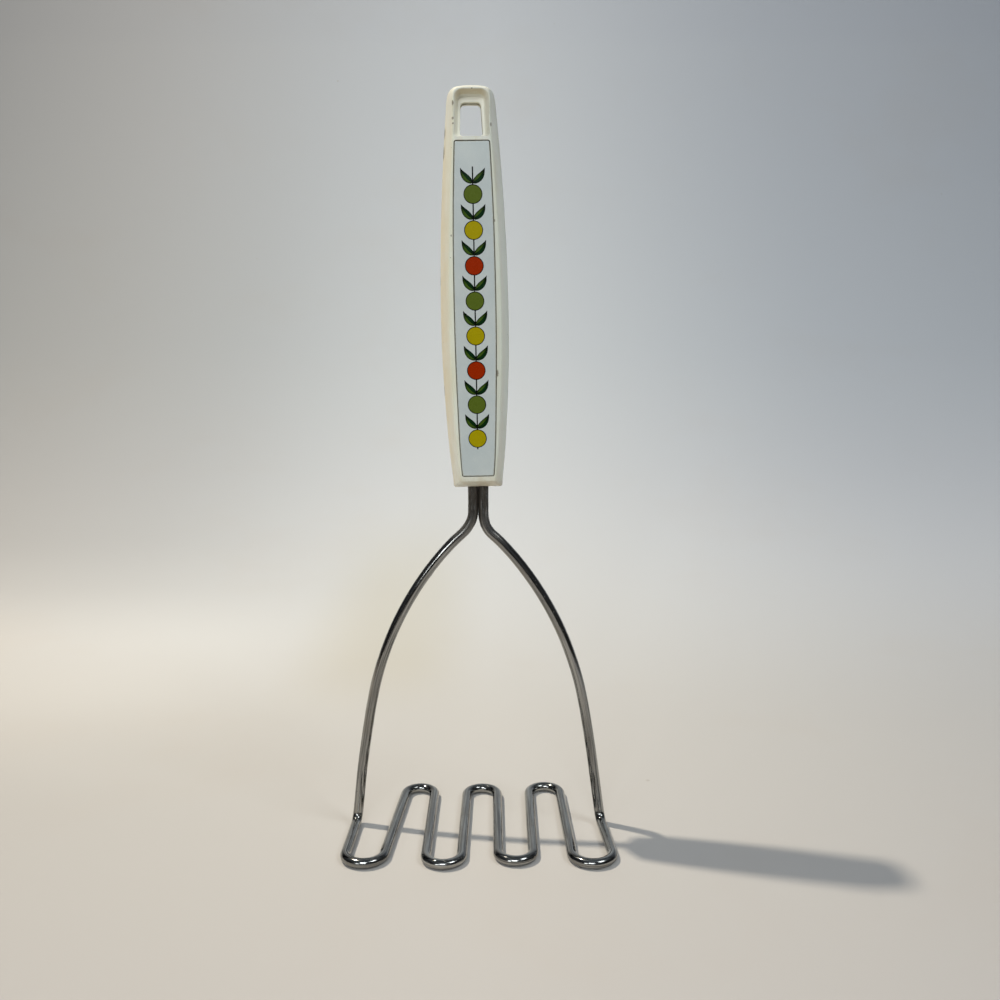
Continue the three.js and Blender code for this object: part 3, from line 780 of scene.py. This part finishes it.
def plate():
    m, t, b = material("white_gloss_plate")
    loc = attr(t, "loc")
    x, y, z = N(t, "ShaderNodeSeparateXYZ", {0: loc}).outputs
    big = noise(t, loc, 0.09, 3, 0.5)
    fine = noise(t, loc, 3.2, 4, 0.6)
    broken = noise(t, loc, 0.8, 4, 0.6)
    col = mix(t, ramp(t, big, 0.3, 0.7), lin((203, 211, 209)), lin((212, 218, 214)))
    col = mix(t, math_(t, "MULTIPLY", ramp(t, fine, 0.52, 0.8), 0.12), col, lin((188, 192, 182)))
    g = attr(t, "grime", "Fac")
    # the white has yellowed next to the groove
    edge = math_(t, "MULTIPLY", ramp(t, g, 0.02, 0.5), ramp(t, broken, 0.3, 0.62))
    col = mix(t, math_(t, "MULTIPLY", edge, 0.55), col, lin((176, 166, 130)))
    dark = math_(t, "MULTIPLY", ramp(t, g, 0.35, 0.85), ramp(t, broken, 0.2, 0.5, 0.6, 1.0))
    col = mix(t, dark, col, lin((118, 110, 84)))
    t.links.new(col, b.inputs["Base Color"])
    scr = noise(t, loc, 1.0, 2, 0.5, squeeze=(2.2, 1.0, 0.35), distort=0.6)
    line = ramp(t, math_(t, "ABSOLUTE", math_(t, "SUBTRACT", scr, 0.52)), 0.008, 0.0)
    t.links.new(math_(t, "ADD", ramp(t, fine, 0.35, 0.7, 0.16, 0.3), math_(t, "MULTIPLY", dark, 0.4)), b.inputs["Roughness"])
    h = math_(t, "SUBTRACT", math_(t, "MULTIPLY", noise(t, loc, 0.5, 2, 0.5), 0.6), math_(t, "MULTIPLY", line, 0.15))
    t.links.new(N(t, "ShaderNodeBump", {"Height": h, "Strength": 0.3, "Distance": 0.00008}).outputs[0], b.inputs["Normal"])
    b.inputs["IOR"].default_value = 1.5
    return m


def ink():
    m, t, b = material("printed_ink")
    loc = attr(t, "loc")
    col = attr(t, "ink", "Color")
    fine = noise(t, loc, 4.5, 4, 0.7)
    mid = noise(t, loc, 1.1, 3, 0.6)
    # uneven ink: lighter where it is thin and darker in soft blotches
    col = mix(t, math_(t, "MULTIPLY", ramp(t, fine, 0.42, 0.75), 0.3), col, mix(t, 1.0, col, (1.5, 1.5, 1.6), "MULTIPLY"))
    col = mix(t, math_(t, "MULTIPLY", ramp(t, mid, 0.55, 0.8), 0.35), col, mix(t, 1.0, col, (0.55, 0.5, 0.42), "MULTIPLY"))
    t.links.new(col, b.inputs["Base Color"])
    t.links.new(ramp(t, fine, 0.3, 0.7, 0.18, 0.32), b.inputs["Roughness"])
    b.inputs["Specular IOR Level"].default_value = 0.09
    h = math_(t, "MULTIPLY", noise(t, loc, 0.5, 2, 0.5), 0.6)
    t.links.new(N(t, "ShaderNodeBump", {"Height": h, "Strength": 0.3, "Distance": 0.00008}).outputs[0], b.inputs["Normal"])
    b.inputs["IOR"].default_value = 1.5
    return m


def chrome():
    m, t, b = material("worn_chrome")
    loc = attr(t, "loc")
    wc = attr(t, "wc")
    curv = attr(t, "curv", "Fac")
    x, y, z = N(t, "ShaderNodeSeparateXYZ", {0: loc}).outputs
    streak = noise(t, wc, 1.0, 4, 0.65, squeeze=(0.035, 1.9, 1.9))
    streak2 = noise(t, wc, 1.0, 3, 0.6, squeeze=(0.12, 4.5, 4.5))
    patch = noise(t, wc, 0.11, 3, 0.6)
    fine = noise(t, wc, 3.0, 5, 0.7)
    col = mix(t, ramp(t, streak, 0.36, 0.66), lin((110, 110, 109)), lin((174, 174, 171)))
    col = mix(t, math_(t, "MULTIPLY", ramp(t, patch, 0.45, 0.72), 0.45), col, lin((132, 128, 121)))
    col = mix(t, math_(t, "MULTIPLY", ramp(t, fine, 0.55, 0.78), 0.3), col, lin((104, 100, 93)))
    # pits in the plating, thicker towards the neck
    vor = N(t, "ShaderNodeTexVoronoi", {"Vector": wc, "Scale": 0.85, "Randomness": 1.0}, feature="F1")
    chance = N(t, "ShaderNodeSeparateColor", {0: vor.outputs["Color"]}).outputs[0]
    near = ramp(t, z, 70.0, 122.0, 0.0, 0.25)
    pick = ramp(t, math_(t, "ADD", chance, near), 0.8, 0.86)
    pit = math_(t, "MULTIPLY", ramp(t, math_(t, "ADD", vor.outputs["Distance"], math_(t, "MULTIPLY", math_(t, "SUBTRACT", fine, 0.5), 0.25)), 0.24, 0.1), pick)
    # brown-black grime where the wires enter the handle and between them
    neck = ramp(t, z, 116.0, 131.0)
    ax = math_(t, "ABSOLUTE", x)
    between = math_(t, "MULTIPLY", ramp(t, ax, 1.9, 0.7), ramp(t, z, 120.0, 125.0))
    gn = noise(t, wc, 1.0, 4, 0.7, squeeze=(0.14, 0.7, 0.7))
    grime = math_(t, "MULTIPLY", neck, ramp(t, gn, 0.3, 0.56, 0.1, 1.0))
    grime = math_(t, "MAXIMUM", grime, between)
    grime = math_(t, "MAXIMUM", grime, math_(t, "MULTIPLY", pit, 0.85))
    # darker patches on the lower half of the head wire, strongest at its bottom
    underside_darkening = math_(t, "MULTIPLY", ramp(t, z, 2.0, 0.4), ramp(t, patch, 0.35, 0.6))
    grime = math_(t, "MAXIMUM", grime, math_(t, "MULTIPLY", underside_darkening, 0.5))
    col = mix(t, grime, col, mix(t, ramp(t, math_(t, "ADD", math_(t, "MULTIPLY", fine, 0.4), math_(t, "MULTIPLY", streak2, 0.6)), 0.36, 0.62), lin((9, 7, 6)), lin((80, 74, 66))))
    t.links.new(col, b.inputs["Base Color"])
    t.links.new(math_(t, "SUBTRACT", 1.0, math_(t, "MULTIPLY", grime, 0.75)), b.inputs["Metallic"])
    rough = ramp(t, streak2, 0.35, 0.68, 0.07, 0.21)
    rough = math_(t, "SUBTRACT", rough, math_(t, "MULTIPLY", curv, 0.06))
    rough = math_(t, "ADD", rough, math_(t, "MULTIPLY", ramp(t, patch, 0.45, 0.72), 0.08))
    rough = math_(t, "ADD", rough, math_(t, "MULTIPLY", grime, 0.35))
    t.links.new(rough, b.inputs["Roughness"])
    h = math_(t, "ADD", math_(t, "MULTIPLY", streak, 0.8), math_(t, "MULTIPLY", streak2, 0.35))
    h = math_(t, "ADD", h, math_(t, "MULTIPLY", patch, 1.2))
    h = math_(t, "SUBTRACT", h, math_(t, "MULTIPLY", pit, 0.7))
    h = math_(t, "ADD", h, math_(t, "MULTIPLY", grime, 0.3))
    t.links.new(N(t, "ShaderNodeBump", {"Height": h, "Strength": 0.3, "Distance": 0.00012}).outputs[0], b.inputs["Normal"])
    return m


# ------------------------------------------------------------------ pieces
wire_ob = wire()
wire_ob.data.materials.append(chrome())
front = shell("front_shell", -1)
back = shell("back_shell", 1)
skin = plastic()
front.data.materials.append(skin)
back.data.materials.append(skin)
plate_ob = plaque()
plate_ob.data.materials.append(plate())
print_ob = plain_band()
print_ob.data.materials.append(ink())

for ob, node, slot in (
    (wire_ob, "masher_wire", "wire_chrome"), (front, "handle_front_shell", "handle_plastic"),
    (back, "handle_back_shell", "handle_plastic"), (plate_ob, "inlay_plaque", "plaque"), (print_ob, None, "plaque"),
):
    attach(ob, "root")
    if node:
        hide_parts(node)

# ------------------------------------------------------------------ stage
def sweep():
    """A pale table top that curves up into a wall behind; it stops a little in front of the tool."""
    front, start, radius, top, side = -0.36, 0.16, 0.85, 2.4, 2.7
    prof = [(y, 0.0) for y in np.linspace(front, start, 14)]
    for f in np.linspace(0, math.pi / 2, 40)[1:]:
        prof.append((start + radius * math.sin(f), radius - radius * math.cos(f)))
    prof.append((start + radius, top))
    xs = np.linspace(-side, side, 55)
    v = [(x, y, z) for y, z in prof for x in xs]
    m = len(xs)
    f = [(i * m + k, i * m + k + 1, (i + 1) * m + k + 1, (i + 1) * m + k) for i in range(len(prof) - 1) for k in range(m - 1)]
    me = bpy.data.meshes.new("table_sweep")
    me.from_pydata(v, [], f)
    me.shade_smooth()
    ob = bpy.data.objects.new("table_sweep", me)
    scene.collection.objects.link(ob)
    m_, t, b = material("pale_table")
    g = N(t, "ShaderNodeTexCoord").outputs["Object"]
    x, y, z = N(t, "ShaderNodeSeparateXYZ", {0: g}).outputs
    # painted light and shade along the run from the front up the wall: brightest on the floor a little behind the tool,
    # darker towards the front and up the wall
    run = math_(t, "ADD", y, z)
    tone = N(t, "ShaderNodeValToRGB", {"Fac": math_(t, "MULTIPLY", math_(t, "ADD", run, 0.4), 0.5)})
    tone.color_ramp.interpolation = "B_SPLINE"
    stops = tone.color_ramp.elements
    stops[0].position, stops[0].color = FLOOR_TONES[0][0], (*FLOOR_TONES[0][1], 1)
    stops[1].position, stops[1].color = FLOOR_TONES[-1][0], (*FLOOR_TONES[-1][1], 1)
    for at, c in FLOOR_TONES[1:-1]:
        stops.new(at).color = (*c, 1)
    col = tone.outputs[0]
    # painted light fall-off: darker towards the left, a little darker towards the right
    fall = math_(t, "SUBTRACT", 1.0, math_(t, "MULTIPLY", math_(t, "MAXIMUM", math_(t, "MULTIPLY", x, -1.0), 0.0), 0.55))
    fall = math_(t, "MULTIPLY", fall, math_(t, "SUBTRACT", 1.0, math_(t, "MULTIPLY", math_(t, "MAXIMUM", x, 0.0), 0.1)))
    grey = N(t, "ShaderNodeCombineXYZ", {0: fall, 1: fall, 2: fall}).outputs[0]
    col = mix(t, 1.0, col, grey, "MULTIPLY")
    # painted shade: the right side darker, greyer and cooler
    col = mix(t, math_(t, "MULTIPLY", ramp(t, x, -0.05, 0.4), ramp(t, run, 1.7, 0.8, 0.6, 1.0)), col, mix(t, 1.0, col, FLOOR_RIGHT, "MULTIPLY"))
    # painted shade: the far left a little darker and warmer
    col = mix(t, ramp(t, x, -0.12, -0.5), col, mix(t, 1.0, col, FLOOR_LEFT, "MULTIPLY"))
    # painted shade on the left up the back, and a painted pool of light low down on the left, where the lamp's pool of
    # light ends
    painted_shade_back = math_(t, "MULTIPLY", ramp(t, x, -0.04, -0.3), math_(t, "MULTIPLY", ramp(t, run, 0.3, 0.46), ramp(t, run, 0.8, 1.5, 1.0, 0.4)))
    painted_light_pool = math_(t, "MULTIPLY", ramp(t, x, -0.02, -0.24), math_(t, "MULTIPLY", ramp(t, run, 0.36, 0.23), ramp(t, run, 0.0, 0.17)))
    gain = math_(t, "ADD", math_(t, "SUBTRACT", 1.0, math_(t, "MULTIPLY", painted_shade_back, 0.13)), math_(t, "MULTIPLY", painted_light_pool, 0.19))
    col = mix(t, 1.0, col, N(t, "ShaderNodeCombineXYZ", {0: gain, 1: gain, 2: gain}).outputs[0], "MULTIPLY")
    warm = math_(t, "MULTIPLY", math_(t, "MULTIPLY", ramp(t, x, -0.135, -0.07), ramp(t, x, 0.005, -0.055)), math_(t, "MULTIPLY", ramp(t, run, 0.1, 0.22), ramp(t, run, 0.55, 0.33)))
    col = mix(t, math_(t, "MULTIPLY", warm, 0.6), col, mix(t, 1.0, col, (0.90, 0.86, 0.75), "MULTIPLY"))
    stain = math_(t, "MULTIPLY", ramp(t, noise(t, g, 7.0, 4, 0.6), 0.5, 0.75), 0.3)
    col = mix(t, stain, col, mix(t, 1.0, col, (0.98, 0.94, 0.9), "MULTIPLY"))
    vor = N(t, "ShaderNodeTexVoronoi", {"Vector": g, "Scale": 26.0, "Randomness": 1.0}, feature="F1")
    pick = ramp(t, N(t, "ShaderNodeSeparateColor", {0: vor.outputs["Color"]}).outputs[0], 0.9, 0.93)
    crumb = math_(t, "MULTIPLY", ramp(t, vor.outputs["Distance"], 0.04, 0.015), pick)
    col = mix(t, math_(t, "MULTIPLY", crumb, 0.35), col, (0.3, 0.25, 0.2))
    t.links.new(col, b.inputs["Base Color"])
    b.inputs["Roughness"].default_value = 0.8
    b.inputs["Specular IOR Level"].default_value = 0.1
    me.materials.append(m_)
    return ob


# painted light and shade of the table and wall: position along the run and colour
FLOOR_TONES = [
    (0.10, (0.52, 0.495, 0.48)), (0.258, (0.655, 0.635, 0.60)), (0.38, (0.745, 0.765, 0.785)), (0.5, (0.64, 0.671, 0.711)),
    (0.643, (0.585, 0.633, 0.68)), (0.96, (0.517, 0.563, 0.632)),
]
# painted shade multipliers for the right and the left of the floor
FLOOR_RIGHT, FLOOR_LEFT = (0.80, 0.818, 0.86), (0.985, 0.94, 0.90)
WORLD_UP, WORLD_FRONT = (0.142, 0.163, 0.18), (0.16, 0.175, 0.19)
KEY_W, FRONT_W, SIDE_W = 16.8, 7.0, 4.3
sweep()

# ------------------------------------------------------------------ light
world = bpy.data.worlds.new("studio")
scene.world = world
world.use_nodes = True
wt = world.node_tree
bg = wt.nodes["Background"]
direction = N(wt, "ShaderNodeTexCoord").outputs["Generated"]
wx, wy, wz = N(wt, "ShaderNodeSeparateXYZ", {0: direction}).outputs
# dark below the horizon and low at the sides, pale overhead, a soft window side in front
over = ramp(wt, wz, 0.5, 0.88)
ahead = math_(wt, "MULTIPLY", ramp(wt, wy, -0.5, -0.9), ramp(wt, wz, 0.04, 0.3))
low = mix(wt, ramp(wt, wz, -0.12, 0.25), (0.022, 0.021, 0.02), (0.042, 0.044, 0.047))
sky = mix(wt, over, low, WORLD_UP)
sky = mix(wt, ahead, sky, WORLD_FRONT)
wt.links.new(sky, bg.inputs[0])
bg.inputs[1].default_value = 1.0


def area(name, at, to, size, power, colour, shape="RECTANGLE", size_y=None):
    li = bpy.data.lights.new(name, "AREA")
    li.shape, li.size, li.energy, li.color = shape, size, power, colour
    if size_y:
        li.size_y = size_y
    ob = bpy.data.objects.new(name, li)
    scene.collection.objects.link(ob)
    ob.location = at
    ob.rotation_mode = "QUATERNION"
    ob.rotation_quaternion = (Vector(to) - Vector(at)).to_track_quat("-Z", "Y")
    return ob


# the key stands on the line from the end of the handle's shadow through the handle's tip
key_at = Vector((0.0, 0.0, 0.285)) + 4.0 * Vector((-0.154, 0.037, 0.285))
area("key", key_at, (0, 0, 0.1), 0.045, KEY_W, (1.0, 0.90, 0.74), "DISK")
area("window_left", (-0.68, -1.16, 0.44), (-0.02, 0, 0.11), 0.32, 1.8, (0.97, 1.0, 1.02), "RECTANGLE", 0.34)
area("side_soft", (0.75, -0.55, 1.15), (0, 0, 0.2), 0.5, SIDE_W, (0.95, 1.0, 1.03), "RECTANGLE", 0.4)
area("front_soft", (-0.12, -1.3, 0.82), (0, 0, 0.2), 0.6, FRONT_W, (0.95, 1.0, 1.03), "RECTANGLE", 0.35)

# ------------------------------------------------------------------ camera
cam = bpy.data.cameras.new("camera")
cam.sensor_width = 36.0
cam.lens = 36.0
cam.clip_start, cam.clip_end = 0.02, 30
cam_ob = bpy.data.objects.new("camera", cam)
scene.collection.objects.link(cam_ob)
cam_ob.location = (0.007937, -0.377762, 0.193385)
cam_ob.rotation_euler = (math.radians(90 - 9.0), 0, 0)
scene.camera = cam_ob
scene.view_settings.view_transform = "Standard"
scene.view_settings.look = "None"
scene.view_settings.exposure = 0.0
